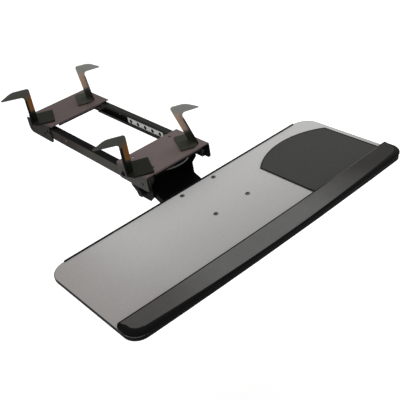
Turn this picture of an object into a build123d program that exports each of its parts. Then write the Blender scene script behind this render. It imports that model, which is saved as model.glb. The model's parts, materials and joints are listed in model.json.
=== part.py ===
# Hook-in keyboard tray: a telescoping frame with four claw hooks, a swivel,
# a parallel-link arm and a tilting tray board with a palm rest and a mouse mat.
# Millimetres, +Z up. Origin: top face of the front cross plate, on the swivel
# axis. X runs along the tray, Y to the back of the desk, the user sits at -Y.
import math
import os

from build123d import *

os.makedirs("parts", exist_ok=True)

# Mounting frame
frame_half = 76.0            # half the width over the side flanges
front_sheet = 2.5            # sheet of the front cross plate
rear_sheet = 3.0             # side flanges of the rear cross plate
front_plate_y = (-48.0, 49.0)
rear_plate_y = (294.0, 392.0)
rear_flange_y = 306.0        # front end of the rear flanges
front_flange_drop = 34.0
rear_flange_drop = 44.0
ear_length = 15.0            # rear flanges run on past the plate
ear_drop = 9.5
lip_drop = 7.0               # folded front and back lips
lip_inset = 20.0             # lips end short of the flanges

# Telescoping side rails
rail_gap = 0.5               # running gap beside the rails
rail_drop = 4.5              # from the plate's underside to the rails
rail_width = 12.0
rail_height = 28.0
rail_sheet = 1.6
rail_lip = 4.4
rail_y = (40.0, 327.0)
slide_height = 18.0
slide_sheet = 1.6
slide_y = (-36.0, 208.0)
slide_reach = 4.6            # depth of the slide's folded edges
index_sheet = 1.5
index_y = (84.0, 208.0)
index_pitch = 25.4
index_count = 5
index_hole_r = 3.2
slide_bolt_y = 33.0
slide_bolt_r = 3.0
slide_bolt_head_r = 5.5
slide_bolt_head = 3.0
slide_nut = 3.5
slide_bolt_end = 1.0
spacer_wall = 2.2
stop_screw_y = 247.0
stop_screw_r = 2.5
stop_head_r = 3.6
stop_head = 2.2
flange_hole_y = -29.0
flange_hole_r = 3.0
rear_hole_y = 332.0
rail_rivet_y = (312.0, 322.0)
rail_rivet_r = 2.4
rail_rivet_head_r = 4.2
rail_rivet_head = 1.5
rail_rivet_end = 1.0
desk_hole_inset = 30.0       # from the flange's outside
desk_hole_y = (-28.0, 36.0)
desk_hole_r = 2.75

# Claw hooks
hook_sheet = 3.0
hook_inward = 20.0           # base, from the studs to its inner end
left_hook_outward = 30.0     # base, from the studs to the upright
right_hook_outward = 18.0
hook_side = 58.0             # base, along the frame's side
hook_base_cut = 12.0
hook_corner = 2.0
hook_turn = -25.0            # all four hooks are turned the same way
hook_height = 78.0
hook_arm = 15.0              # web width of the upright
hook_flange = 15.0           # side width of the upright
hook_foot = 32.0             # width of the upright at its foot
hook_flare = 26.0            # height of the flare
hook_foot_rise = 4.0         # straight part of the foot above the base
left_beak_reach = 63.0       # from the upright's inner edge to the tip
right_beak_reach = 52.0
beak_flat = 0.6              # level share of the top
beak_droop = 13.0            # the tip lies this far below the top
beak_blunt = 1.8
beak_depth = 16.5
beak_round = 5.0
beak_throat = 6.0
front_right_lean = 18.0
rear_right_lean = 6.0
front_right_shift = -2.0
stud_r = 2.5
stud_side = 8.0              # studs each side of the hook's middle
nut_r = 4.6
nut_height = 3.6
washer_sheet = 1.0
slot_inset = (30.0, 14.0)    # ends of the stud travel, from the flange's outside
stud_end = 0.4
slot_gap = 0.3

# Swivel
race_r = 28.0
race_sheet = 3.5
bearing_r = 32.0
bearing_sheet = 3.0
disc_r = 50.0
disc_sheet = 3.0
yoke_sheet = 3.0
swivel_stud_r = 6.0
swivel_gap = 0.05
swivel_nut_r = 10.0
swivel_nut_height = 7.0
stop_pin_r = 3.0
stop_pin_ring = 40.0
swivel_limit = 90.0

# Arm: pivots as (y, z) at the photographed height
upper_rear = (38.0, -46.0)
arm_drop = 42.0
arm_run = 110.0
link_offset = 16.0
lower_limit = 30.0           # the tray swings down by this many degrees
yoke_half = 52.0
cheek_sheet = 2.5
arm_gap = 1.5                # nylon washers between yoke and arm
head_gap = 0.5
link_gap = 2.0
pivot_r = 4.0
pivot_gap = 0.05
pivot_head_r = 6.5
pivot_head = 2.0
end_gap = 0.2
eye_r = 9.0
link_eye_r = 7.0
lock_along = 34.0            # lock bolt from the rear pivot, along the arm
lock_below = 5.0
lock_r = 3.0
knob_r = 9.0
knob_length = 12.0
spacer_r = 5.0
tilt_run = 36.0              # tilt axis ahead of the front pivot
tilt_rise = 9.0
tilt_r = 4.0
tilt_knob_r = 13.0
tilt_knob_length = 15.0

# Tray board
tray_width = 635.0
tray_back = -69.0
tray_front = -322.0
tray_bow = 5.0
tray_top = -51.0
tray_sheet = 6.0
laminate = 0.8
band = 1.2
back_corner = 34.0
front_corner = 26.0
strip_inset = 34.5
strip_depth = 2.5
strip_height = 2.2
palm_back = -281.0
palm_inset = 5.0
palm_base_height = 2.5
palm_pad_height = 9.5
palm_nose = 4.0
palm_round = 4.5
mat_inset = 11.5             # from the board's right end
mat_width = 185.0
mat_gap = 0.3
mat_edge = 0.4
mat_shoulder = 135.0         # from the origin back to the mat's corners
mat_crown = 34.0
mat_sheet = 1.6
bracket_half = 56.0
bracket_y = (-74.0, -192.0)
screw_middle = 8.0           # the screws sit a little to the right
screw_x = 39.0
screw_y = (-83.0, -176.0)
screw_r = 2.5
screw_head_r = 4.5
screw_head = 1.6


def save(piece, name):
    piece.label = name
    export_step(piece, f"parts/{name}.step")


def turned(point, degrees):
    """A (y, z) point turned about X, as a positive joint angle turns it."""
    a = math.radians(degrees)
    y, z = point
    return (y * math.cos(a) - z * math.sin(a), y * math.sin(a) + z * math.cos(a))


def shifted(*points):
    return tuple(sum(values) for values in zip(*points))


def side(x):
    """Plane facing +X at x, with local x along Y and local y along Z."""
    return Plane(origin=(x, 0, 0), x_dir=(0, 1, 0), z_dir=(1, 0, 0))


def span(low, high):
    return (low + high) / 2, high - low


# Front cross plate: top sheet with folded side flanges and lips
front_depth = front_plate_y[1] - front_plate_y[0]
lip_half = frame_half - lip_inset
desk_hole_x = frame_half - desk_hole_inset
slot_x = tuple(frame_half - inset for inset in slot_inset)
rail_outer = frame_half - front_sheet - rail_gap
rail_top = -front_sheet - rail_drop
rail_mid = rail_top - rail_height / 2
slide_web_x = rail_outer - rail_width + rail_sheet + rail_gap + index_sheet
slot_mid, slot_travel = span(*slot_x)
hook_front_y = -12.0
hook_rear_y = 343.0
stud_dx = stud_side * math.sin(math.radians(-hook_turn))
stud_dy = stud_side * math.cos(math.radians(-hook_turn))

stud_slots = [
    (direction * slot_mid + sign * stud_dx, sign * stud_dy)
    for direction in (-1, 1)
    for sign in (-1, 1)
]


def cut_stud_slots(middle_y):
    """Slots for the hook studs, two under each hook."""
    for x, y in stud_slots:
        with Locations((x, middle_y + y)):
            SlotCenterToCenter(slot_travel, 2 * (stud_r + slot_gap))


with BuildPart() as front_cross_plate:
    with BuildSketch(Plane.XZ.offset(-front_plate_y[1])):
        with Locations((0, -front_flange_drop / 2)):
            Rectangle(2 * frame_half, front_flange_drop)
    extrude(amount=front_depth)
    fillet(
        front_cross_plate.edges().filter_by(Axis.Y).group_by(Axis.Z)[-1],
        radius=front_sheet,
    )
    with BuildSketch(Plane.XZ.offset(-front_plate_y[1])):
        with Locations((0, -front_sheet - front_flange_drop / 2)):
            Rectangle(2 * (frame_half - front_sheet), front_flange_drop)
    extrude(amount=front_depth, mode=Mode.SUBTRACT)
    with BuildSketch(Plane.XY.offset(-front_sheet)):
        for y in (front_plate_y[0] + front_sheet / 2, front_plate_y[1] - front_sheet / 2):
            with Locations((0, y)):
                Rectangle(2 * lip_half, front_sheet)
    extrude(amount=-(lip_drop - front_sheet))
    flange_ends = front_cross_plate.edges().filter_by(Axis.X).group_by(Axis.Z)[0]
    fillet(flange_ends, radius=7)
    with BuildSketch(Plane.XY):
        cut_stud_slots(hook_front_y)
        for y in desk_hole_y:
            with Locations((-desk_hole_x, y), (desk_hole_x, y)):
                Circle(desk_hole_r)
    extrude(amount=-front_sheet, mode=Mode.SUBTRACT)
    with BuildSketch(side(-frame_half)):
        with Locations((slide_bolt_y, rail_mid - 1)):
            Circle(slide_bolt_r)
        with Locations((flange_hole_y, rail_mid - 1)):
            Circle(flange_hole_r)
    extrude(amount=2 * frame_half, mode=Mode.SUBTRACT)
save(front_cross_plate.part, "front_cross_plate")

# Rear cross plate: deeper flanges, set back at the front, that run on into an
# ear behind the plate
rear_depth = rear_plate_y[1] - rear_plate_y[0]
with BuildPart() as rear_cross_plate:
    with BuildSketch(side(-frame_half)):
        with BuildLine():
            Polyline(
                (rear_plate_y[0], 0),
                (rear_plate_y[1], 0),
                (rear_plate_y[1], -ear_drop),
                (rear_plate_y[1] + ear_length, -ear_drop),
                (rear_plate_y[1] + ear_length, -rear_flange_drop),
                (rear_flange_y, -rear_flange_drop),
                (rear_flange_y, -rear_sheet),
                (rear_plate_y[0], -rear_sheet),
                close=True,
            )
        make_face()
        fillet(vertices().group_by(Axis.Y)[0].sort_by(Axis.X)[-1], radius=14)
        fillet(vertices().group_by(Axis.Y)[0].sort_by(Axis.X)[0], radius=6)
    extrude(amount=2 * frame_half)
    fillet(
        rear_cross_plate.edges().filter_by(Axis.Y).group_by(Axis.Z)[-1],
        radius=front_sheet,
    )
    with BuildSketch(Plane.XZ.offset(-rear_plate_y[1] - ear_length)):
        with Locations((0, -front_sheet - rear_flange_drop / 2)):
            Rectangle(2 * (frame_half - rear_sheet), rear_flange_drop)
    extrude(amount=rear_depth + ear_length, mode=Mode.SUBTRACT)
    with BuildSketch(Plane.XY.offset(-front_sheet)):
        for y in (rear_plate_y[0] + front_sheet / 2, rear_plate_y[1] - front_sheet / 2):
            with Locations((0, y)):
                Rectangle(2 * lip_half, front_sheet)
    extrude(amount=-(lip_drop - front_sheet))
    with BuildSketch(Plane.XY):
        cut_stud_slots(hook_rear_y)
    extrude(amount=-front_sheet, mode=Mode.SUBTRACT)
    with BuildSketch(side(-frame_half)):
        with Locations((rear_hole_y, rail_mid - 7)):
            Circle(flange_hole_r)
        with Locations(*[(y, rail_mid) for y in rail_rivet_y]):
            Circle(rail_rivet_r)
    extrude(amount=2 * frame_half, mode=Mode.SUBTRACT)
save(rear_cross_plate.part, "rear_cross_plate")


def rail(direction):
    """Outer channel, open towards the middle of the frame, with turned lips."""
    web = direction * rail_outer
    mouth = direction * (rail_outer - rail_width)
    inner = direction * (rail_outer - rail_sheet)
    lip = direction * (rail_outer - rail_width + rail_sheet)
    bottom = rail_top - rail_height
    with BuildPart() as channel:
        with BuildSketch(Plane.XZ.offset(-rail_y[1])):
            with BuildLine():
                Polyline(
                    (mouth, rail_top),
                    (web, rail_top),
                    (web, bottom),
                    (mouth, bottom),
                    (mouth, bottom + rail_sheet + rail_lip),
                    (lip, bottom + rail_sheet + rail_lip),
                    (lip, bottom + rail_sheet),
                    (inner, bottom + rail_sheet),
                    (inner, rail_top - rail_sheet),
                    (lip, rail_top - rail_sheet),
                    (lip, rail_top - rail_sheet - rail_lip),
                    (mouth, rail_top - rail_sheet - rail_lip),
                    close=True,
                )
            make_face()
        extrude(amount=rail_y[1] - rail_y[0])
        with BuildSketch(side(min(web, mouth))):
            with Locations(*[(y, rail_mid) for y in rail_rivet_y]):
                Circle(rail_rivet_r)
            with Locations((stop_screw_y, rail_mid)):
                Circle(stop_screw_r)
        extrude(amount=rail_width, mode=Mode.SUBTRACT)
    return channel.part


save(rail(-1), "left_rail")
save(rail(1), "right_rail")

# Inner slides, bolted to the front cross plate, with a bare perforated strip
slide_mid = rail_mid - 1
slide_outer_x = slide_web_x + slide_sheet + slide_reach
index_first = index_y[0] + (index_y[1] - index_y[0] - (index_count - 1) * index_pitch) / 2


def slide(direction):
    """Channel that runs inside the rail, its web towards the middle."""
    web = direction * slide_web_x
    back = direction * (slide_web_x + slide_sheet)
    edge = direction * slide_outer_x
    top = slide_mid + slide_height / 2
    bottom = slide_mid - slide_height / 2
    with BuildPart() as channel:
        with BuildSketch(Plane.XZ.offset(-slide_y[1])):
            with BuildLine():
                Polyline(
                    (web, top),
                    (edge, top),
                    (edge, top - slide_sheet),
                    (back, top - slide_sheet),
                    (back, bottom + slide_sheet),
                    (edge, bottom + slide_sheet),
                    (edge, bottom),
                    (web, bottom),
                    close=True,
                )
            make_face()
        extrude(amount=slide_y[1] - slide_y[0])
        with BuildSketch(side(min(web, edge))):
            with Locations(*[(index_first + n * index_pitch, slide_mid) for n in range(index_count)]):
                Circle(index_hole_r)
            with Locations((slide_bolt_y, slide_mid), (flange_hole_y, slide_mid)):
                Circle(slide_bolt_r)
        extrude(amount=slide_outer_x - slide_web_x, mode=Mode.SUBTRACT)
    return channel.part


def index_strip(direction):
    """Bare steel strip with five holes on the slide's inner face."""
    near = direction * (slide_web_x - index_sheet)
    far = direction * slide_web_x
    with BuildPart() as strip:
        with BuildSketch(side(min(near, far))):
            middle, length = span(*index_y)
            with Locations((middle, slide_mid)):
                Rectangle(length, slide_height - 2 * slide_sheet)
            with Locations(*[(index_first + n * index_pitch, slide_mid) for n in range(index_count)]):
                Circle(index_hole_r, mode=Mode.SUBTRACT)
        extrude(amount=index_sheet)
    return strip.part


save(slide(-1), "left_slide")
save(slide(1), "right_slide")
save(index_strip(-1), "left_index_strip")
save(index_strip(1), "right_index_strip")


def bolt_along_x(x0, x1, y, z, r, head_r, head, nut, inner):
    """Bolt from x0 outside to x1 inside, hex nut on the inner end, as one solid each."""
    out = 1 if x0 > x1 else -1
    with BuildPart() as bolt:
        with BuildSketch(side(x1)):
            with Locations((y, z)):
                Circle(r)
        extrude(amount=out * abs(x0 - x1))
        with BuildSketch(side(x0)):
            with Locations((y, z)):
                Circle(head_r)
        extrude(amount=out * head)
        fillet(bolt.faces().sort_by(Axis.X)[-1 if out > 0 else 0].edges(), radius=head * 0.6)
        with BuildSketch(side(inner)):
            with Locations((y, z)):
                RegularPolygon(head_r * 0.95, 6)
        extrude(amount=-out * nut)
    return bolt.part


slide_bolts = []
for direction in (-1, 1):
    slide_bolts.append(
        bolt_along_x(
            direction * frame_half,
            direction * (slide_web_x - slide_nut - slide_bolt_end),
            slide_bolt_y,
            slide_mid,
            slide_bolt_r,
            slide_bolt_head_r,
            slide_bolt_head,
            slide_nut,
            direction * slide_web_x,
        )
    )
save(Compound(children=slide_bolts), "slide_bolts")

slide_spacers = []
for direction in (-1, 1):
    near = direction * (slide_web_x + slide_sheet)
    far = direction * (frame_half - front_sheet)
    for y in (slide_bolt_y, flange_hole_y):
        with BuildPart() as spacer:
            with BuildSketch(side(min(near, far))):
                with Locations((y, slide_mid)):
                    Circle(slide_bolt_r + spacer_wall)
                    Circle(slide_bolt_r, mode=Mode.SUBTRACT)
            extrude(amount=abs(far - near))
        slide_spacers.append(spacer.part)
save(Compound(children=slide_spacers), "slide_spacers")

rail_rivets = []
for direction in (-1, 1):
    for y in rail_rivet_y:
        rail_rivets.append(
            bolt_along_x(
                direction * frame_half,
                direction * (rail_outer - rail_sheet - rail_rivet_end),
                y,
                rail_mid,
                rail_rivet_r,
                rail_rivet_head_r,
                rail_rivet_head,
                rail_rivet_end,
                direction * (rail_outer - rail_sheet),
            )
        )
save(Compound(children=rail_rivets), "rail_rivets")

stop_screws = []
for direction in (-1, 1):
    with BuildPart() as screw:
        with BuildSketch(side(direction * rail_outer)):
            with Locations((stop_screw_y, rail_mid)):
                Circle(stop_screw_r)
        extrude(amount=-direction * rail_sheet)
        with BuildSketch(side(direction * (rail_outer - rail_sheet))):
            with Locations((stop_screw_y, rail_mid)):
                Circle(stop_head_r)
        extrude(amount=-direction * stop_head)
    stop_screws.append(screw.part)
save(Compound(children=stop_screws), "rail_stop_screws")

# Claw hook: flat base, flared upright folded up at the outer edge, and a web
# folded round the upright's side that runs out into the beak
flange_top = hook_height - beak_depth - beak_throat / 2
hook_reach = left_hook_outward + left_beak_reach


def hook(centre, facing, outer, reach, lean):
    """One hook. facing is +1 to the right, -1 to the left; lean in degrees."""
    slant = math.tan(math.radians(lean))
    inner_edge = outer - hook_arm

    def at(u, z):
        """Point u out along the hook at height z, set back by the lean."""
        return (u - slant * max(z - hook_sheet, 0), z)

    with BuildPart() as claw:
        with BuildSketch(Plane.XY):
            with Locations(((outer - hook_inward) / 2, 0)):
                Rectangle(outer + hook_inward, hook_side)
            chamfer(vertices().group_by(Axis.X)[-1], length=hook_base_cut)
            fillet(vertices().group_by(Axis.X)[0], radius=hook_corner)
        extrude(amount=hook_sheet)
        with BuildSketch(Plane.XZ.offset(-hook_foot / 2)):
            with BuildLine():
                Polyline(
                    (outer, 0),
                    at(outer, hook_sheet),
                    at(outer, flange_top),
                    at(outer - hook_sheet, flange_top),
                    at(outer - hook_sheet, hook_sheet),
                    (outer - hook_sheet, 0),
                    close=True,
                )
            make_face()
        extrude(amount=hook_foot)
        for sign in (-1, 1):
            with BuildSketch(Plane.YZ.offset(-hook_reach)):
                with BuildLine():
                    Polyline(
                        (sign * hook_foot, hook_sheet + hook_foot_rise),
                        (sign * hook_foot / 2, hook_sheet + hook_foot_rise),
                        (sign * hook_flange / 2, hook_flare),
                        (sign * hook_flange / 2, hook_height),
                        (sign * hook_foot, hook_height),
                        close=True,
                    )
                make_face()
            extrude(amount=2 * hook_reach, mode=Mode.SUBTRACT)
        top_corner = at(inner_edge, hook_height)
        top_bend = at(inner_edge + beak_flat * reach, hook_height)
        throat = at(outer, hook_height - beak_depth)
        tip = at(inner_edge + reach, hook_height - beak_droop)
        with BuildSketch(Plane.XZ.offset(-hook_flange / 2)):
            with BuildLine():
                Polyline(
                    (inner_edge, hook_sheet),
                    top_corner,
                    top_bend,
                    tip,
                    shifted(tip, (-beak_blunt, -beak_blunt)),
                    throat,
                    (outer, hook_sheet),
                    close=True,
                )
            make_face()
            fillet(vertices().sort_by_distance((*top_corner, 0))[0], radius=beak_round)
            fillet(vertices().sort_by_distance((*top_bend, 0))[0], radius=2 * beak_depth)
            fillet(vertices().sort_by_distance((*throat, 0))[0], radius=beak_throat)
        extrude(amount=hook_sheet)
        for sign in (-1, 1):
            with BuildSketch(Plane.XY):
                with Locations((0, sign * stud_side)):
                    Circle(stud_r)
            extrude(amount=-(front_sheet + washer_sheet + nut_height + stud_end))
    turn = hook_turn + (180 if facing < 0 else 0)
    return claw.part.moved(Location((*centre, 0), (0, 0, turn)))


def hook_nuts(centre):
    """Washers and nuts under the plate on a hook's two studs."""
    pieces = []
    for sign in (-1, 1):
        spot = (centre[0] + sign * stud_dx, centre[1] + sign * stud_dy)
        with BuildPart() as nut:
            with BuildSketch(Plane.XY.offset(-front_sheet)):
                with Locations(spot):
                    Circle(nut_r)
                    Circle(stud_r, mode=Mode.SUBTRACT)
            extrude(amount=-washer_sheet)
            with BuildSketch(Plane.XY.offset(-front_sheet - washer_sheet)):
                with Locations(spot):
                    RegularPolygon(nut_r, 6)
                    Circle(stud_r, mode=Mode.SUBTRACT)
            extrude(amount=-nut_height)
        pieces.append(nut.part)
    return Compound(children=pieces)


front_right_x = slot_mid + front_right_shift
left_side = (-1, left_hook_outward, left_beak_reach)
right_side = (1, right_hook_outward, right_beak_reach)
hooks = {
    "front_left": ((-slot_x[1], hook_front_y), *left_side, 0.0),
    "front_right": ((front_right_x, hook_front_y), *right_side, front_right_lean),
    "rear_left": ((-slot_x[1], hook_rear_y), *left_side, 0.0),
    "rear_right": ((slot_x[0], hook_rear_y), *right_side, rear_right_lean),
}
for name, (centre, facing, outer, reach, lean) in hooks.items():
    save(hook(centre, facing, outer, reach, lean), f"hook_{name}")
    save(hook_nuts(centre), f"hook_nuts_{name}")

# Swivel: race on the plate, nylon bearing, disc with a stop slot
race_z = -front_sheet
bearing_z = race_z - race_sheet
disc_z = bearing_z - bearing_sheet
yoke_z = disc_z - disc_sheet
yoke_under = yoke_z - yoke_sheet
hole_r = swivel_stud_r + swivel_gap

with BuildPart() as swivel_race:
    with BuildSketch(Plane.XY.offset(race_z)):
        Circle(race_r)
        Circle(hole_r, mode=Mode.SUBTRACT)
    extrude(amount=-race_sheet)
save(swivel_race.part, "swivel_race")

with BuildPart() as swivel_bearing:
    with BuildSketch(Plane.XY.offset(bearing_z)):
        Circle(bearing_r)
        Circle(hole_r, mode=Mode.SUBTRACT)
    extrude(amount=-bearing_sheet)
    fillet(swivel_bearing.edges().filter_by(GeomType.CIRCLE).sort_by(SortBy.RADIUS)[-2:], radius=0.6)
save(swivel_bearing.part, "swivel_bearing")

with BuildPart() as swivel_disc:
    with BuildSketch(Plane.XY.offset(disc_z)):
        Circle(disc_r)
        Circle(hole_r, mode=Mode.SUBTRACT)
        with BuildLine(mode=Mode.PRIVATE):
            stop_path = CenterArc((0, 0), stop_pin_ring, 90 - swivel_limit, 2 * swivel_limit)
        SlotArc(stop_path, 2 * stop_pin_r + 0.8, mode=Mode.SUBTRACT)
    extrude(amount=-disc_sheet)
save(swivel_disc.part, "swivel_disc")

with BuildPart() as swivel_stud:
    with BuildSketch(Plane.XY.offset(race_z)):
        Circle(swivel_stud_r)
    extrude(amount=-(-yoke_under + race_z + 1.6 + swivel_nut_height + 1))
    chamfer(swivel_stud.faces().sort_by(Axis.Z)[0].edges(), length=0.8)
save(swivel_stud.part, "swivel_stud")

with BuildPart() as swivel_nut:
    with BuildSketch(Plane.XY.offset(yoke_under)):
        Circle(swivel_nut_r + 2)
        Circle(swivel_stud_r, mode=Mode.SUBTRACT)
    extrude(amount=-1.6)
    with BuildSketch(Plane.XY.offset(yoke_under - 1.6)):
        RegularPolygon(swivel_nut_r, 6)
        Circle(swivel_stud_r, mode=Mode.SUBTRACT)
    extrude(amount=-swivel_nut_height)
save(swivel_nut.part, "swivel_nut")

with BuildPart() as stop_pin:
    with BuildSketch(Plane.XY.offset(race_z)):
        with Locations((0, stop_pin_ring)):
            Circle(stop_pin_r)
    extrude(amount=-(race_z - yoke_z - 0.4))
save(stop_pin.part, "swivel_stop_pin")

# Arm geometry, as (y, z) points at the photographed height
arm_vector = (-arm_run, -arm_drop)
arm_length = math.hypot(*arm_vector)
arm_angle = math.degrees(math.atan2(arm_drop, arm_run))
along = (arm_vector[0] / arm_length, arm_vector[1] / arm_length)
below = (-along[1], along[0])
upper_front = shifted(upper_rear, arm_vector)
mid_angle = math.radians(arm_angle + lower_limit / 2)
link_shift = (link_offset * math.sin(mid_angle), -link_offset * math.cos(mid_angle))
lower_rear = shifted(upper_rear, link_shift)
lower_front = shifted(upper_front, link_shift)
lock_vector = (
    lock_along * along[0] + lock_below * below[0],
    lock_along * along[1] + lock_below * below[1],
)
lock_point = shifted(upper_rear, lock_vector)
lock_radius = math.hypot(*lock_vector)
lock_start = math.degrees(math.atan2(lock_vector[1], lock_vector[0]))
tilt_point = shifted(upper_front, (-tilt_run, tilt_rise))

yoke_inner = yoke_half - cheek_sheet
arm_outer = yoke_inner - arm_gap
arm_inner = arm_outer - cheek_sheet
head_outer = arm_inner - head_gap
head_inner = head_outer - cheek_sheet
link_outer = head_inner - link_gap
link_inner = link_outer - cheek_sheet


# Yoke: top web under the disc, two cheeks that carry the arm's rear pivots
yoke_neck = 33.0
yoke_waist_y = -18.0
yoke_bottom = -84.0
yoke_reach = upper_rear[0] + 2 * link_offset
with BuildPart() as yoke:
    with BuildSketch(side(-yoke_half)):
        with BuildLine():
            Polyline(
                (-yoke_neck, yoke_z),
                (yoke_neck, yoke_z),
                (yoke_neck, -front_flange_drop - 3),
                (upper_rear[0] + eye_r, upper_rear[1] + eye_r),
                (lower_rear[0] + eye_r, lower_rear[1] + 2),
                (lower_rear[0] + eye_r - 2, lower_rear[1] - eye_r),
                (upper_rear[0] - 4, yoke_bottom),
                (-4, yoke_bottom),
                (yoke_waist_y, yoke_bottom + 14),
                (yoke_waist_y, -43),
                (-yoke_neck, -24),
                close=True,
            )
        make_face()
        fillet(
            [v for v in vertices() if v.Y < -front_flange_drop - 8],
            radius=4,
        )
    extrude(amount=2 * yoke_half)
    fillet(yoke.edges().filter_by(Axis.Y).group_by(Axis.Z)[-1], radius=yoke_sheet)
    with BuildSketch(Plane.XZ):
        with Locations((0, yoke_under + yoke_bottom)):
            Rectangle(2 * yoke_inner, -2 * yoke_bottom)
    extrude(amount=yoke_reach, both=True, mode=Mode.SUBTRACT)
    with BuildSketch(Plane.XY.offset(yoke_z)):
        Circle(hole_r)
    extrude(amount=-yoke_sheet, mode=Mode.SUBTRACT)
    with BuildSketch(side(-yoke_half)):
        with Locations(upper_rear, lower_rear):
            Circle(pivot_r)
        with BuildLine(mode=Mode.PRIVATE):
            lock_path = CenterArc(upper_rear, lock_radius, lock_start, lower_limit)
        SlotArc(lock_path, 2 * (lock_r + slot_gap))
    extrude(amount=2 * yoke_half, mode=Mode.SUBTRACT)
save(yoke.part, "yoke")

# Arm cover: two cheeks joined by a top web that sheds dust off the links
arm_frame = Plane(
    origin=(0, *upper_rear),
    x_dir=(0, *along),
    z_dir=(-1, 0, 0),
)
cover_top = 7.5
cover_start = 17.0
cover_end = arm_length - 13.0
end_cut = cover_start + 2 * eye_r


def eyes(length, r, depth):
    """Cheek outline between two round eyes on a link's own plane."""
    with Locations((0, 0), (length, 0)):
        Circle(r)
    with Locations((length / 2, 0)):
        Rectangle(length, depth)


with BuildPart() as arm_cover:
    with BuildSketch(arm_frame.offset(-arm_outer)):
        eyes(arm_length, eye_r, 2 * cover_top)
        with Locations((lock_along, -lock_below)):
            Circle(lock_r + 4)
    extrude(amount=2 * arm_outer)
    with BuildSketch(arm_frame.offset(-arm_inner)):
        with Locations(((cover_start + cover_end) / 2, -cheek_sheet - 10)):
            Rectangle(cover_end - cover_start, 2 * cover_top + 20)
        with Locations((cover_start - end_cut / 2, 0), (cover_end + end_cut / 2, 0)):
            Rectangle(end_cut, 2 * end_cut)
    extrude(amount=2 * arm_inner, mode=Mode.SUBTRACT)
    with BuildSketch(arm_frame.offset(-arm_outer)):
        with Locations((0, 0), (arm_length, 0)):
            Circle(pivot_r + pivot_gap)
        with Locations((lock_along, -lock_below)):
            Circle(lock_r)
    extrude(amount=2 * arm_outer, mode=Mode.SUBTRACT)
save(arm_cover.part, "arm_cover")

# Lower links: two flat bars that keep the tray level as the arm swings
link_frame = Plane(origin=(0, *lower_rear), x_dir=(0, *along), z_dir=(-1, 0, 0))
lower_links = []
for start in (-link_outer, link_inner):
    with BuildPart() as lower_link:
        with BuildSketch(link_frame.offset(start)):
            eyes(arm_length, link_eye_r, 9)
            with Locations((0, 0), (arm_length, 0)):
                Circle(pivot_r + pivot_gap, mode=Mode.SUBTRACT)
        extrude(amount=cheek_sheet)
    lower_links.append(lower_link.part)
save(Compound(children=lower_links), "lower_links")

# Tray head: upright of the parallel linkage, carries the tilt axis
head_edge = eye_r - 0.5
head_floor = lower_front[1] - head_edge + cheek_sheet
head_rise = tilt_point[1] - head_floor + 2 * eye_r
head_back = upper_front[0] + 2 * link_offset
head_length = head_back - tilt_point[0] + 2 * eye_r
with BuildPart() as tray_head:
    with BuildSketch(side(-head_outer)):
        with BuildLine():
            Polyline(
                upper_front,
                tilt_point,
                shifted(lower_front, (-22, -2)),
                lower_front,
                close=True,
            )
        make_face()
        offset(amount=head_edge)
    extrude(amount=2 * head_outer)
    with BuildSketch(Plane.XZ.offset(-head_back)):
        with Locations((0, head_floor + head_rise / 2)):
            Rectangle(2 * head_inner, head_rise)
    extrude(amount=head_length, mode=Mode.SUBTRACT)
    with BuildSketch(Plane.XZ.offset(-head_back)):
        with Locations((0, head_floor)):
            Rectangle(2 * head_inner, 2 * head_rise)
    extrude(amount=head_back - lower_front[0] + link_eye_r + link_gap, mode=Mode.SUBTRACT)
    with BuildSketch(side(-head_outer)):
        with Locations(upper_front, lower_front):
            Circle(pivot_r)
        with Locations(tilt_point):
            Circle(tilt_r + pivot_gap)
    extrude(amount=2 * head_outer, mode=Mode.SUBTRACT)
save(tray_head.part, "tray_head")


def rivet(outside, inside, point, shoulder_end=0.0):
    """Shoulder rivet along X: head outside, closed end inside."""
    out = 1 if outside > inside else -1
    with BuildPart() as piece:
        with BuildSketch(side(inside)):
            with Locations(point):
                Circle(pivot_r)
        extrude(amount=out * abs(outside - inside))
        with BuildSketch(side(outside)):
            with Locations(point):
                Circle(pivot_head_r)
        extrude(amount=out * pivot_head)
        fillet(piece.faces().sort_by(Axis.X)[-1 if out > 0 else 0].edges(), radius=1.2)
        with BuildSketch(side(inside)):
            with Locations(point):
                Circle(pivot_head_r - 1)
        extrude(amount=-out * 1.5)
        if shoulder_end:
            shoulder = abs(inside) + cheek_sheet + 2 * end_gap
            with BuildSketch(side(out * shoulder)):
                with Locations(point):
                    Circle(pivot_r + 1)
            extrude(amount=out * (shoulder_end - shoulder))
    return piece.part


def rivet_pair(outside, inside, point, shoulder_end=0.0):
    return Compound(
        children=[rivet(s * outside, s * inside, point, shoulder_end) for s in (-1, 1)]
    )


save(rivet_pair(yoke_half, arm_inner - end_gap, upper_rear), "upper_rear_pivots")
save(
    rivet_pair(yoke_half, link_inner - end_gap, lower_rear, yoke_inner),
    "lower_rear_pivots",
)
save(rivet_pair(arm_outer + end_gap, head_inner, upper_front), "upper_front_pivots")
save(
    rivet_pair(head_outer, link_inner - end_gap, lower_front, head_inner),
    "lower_front_pivots",
)

pivot_washers = []
for sign in (-1, 1):
    with BuildPart() as washer:
        with BuildSketch(side(sign * (arm_outer + end_gap))):
            with Locations(upper_rear):
                Circle(pivot_head_r + 1)
                Circle(pivot_r, mode=Mode.SUBTRACT)
        extrude(amount=sign * (arm_gap - end_gap))
    pivot_washers.append(washer.part)
save(Compound(children=pivot_washers), "pivot_washers")


def knob(base_x, length, r, bore, point, out):
    """Six-lobed hand knob with a metal insert's bore."""
    with BuildPart() as grip:
        with BuildSketch(side(base_x)):
            with Locations(point):
                Circle(r * 0.86)
                with PolarLocations(r * 0.80, 6):
                    Circle(r * 0.20)
        extrude(amount=out * length)
        fillet(grip.faces().sort_by(Axis.X)[-1 if out > 0 else 0].edges(), radius=1.0)
        with BuildSketch(side(base_x)):
            with Locations(point):
                Circle(bore)
        extrude(amount=out * (length - 3), mode=Mode.SUBTRACT)
    return grip.part


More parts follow.
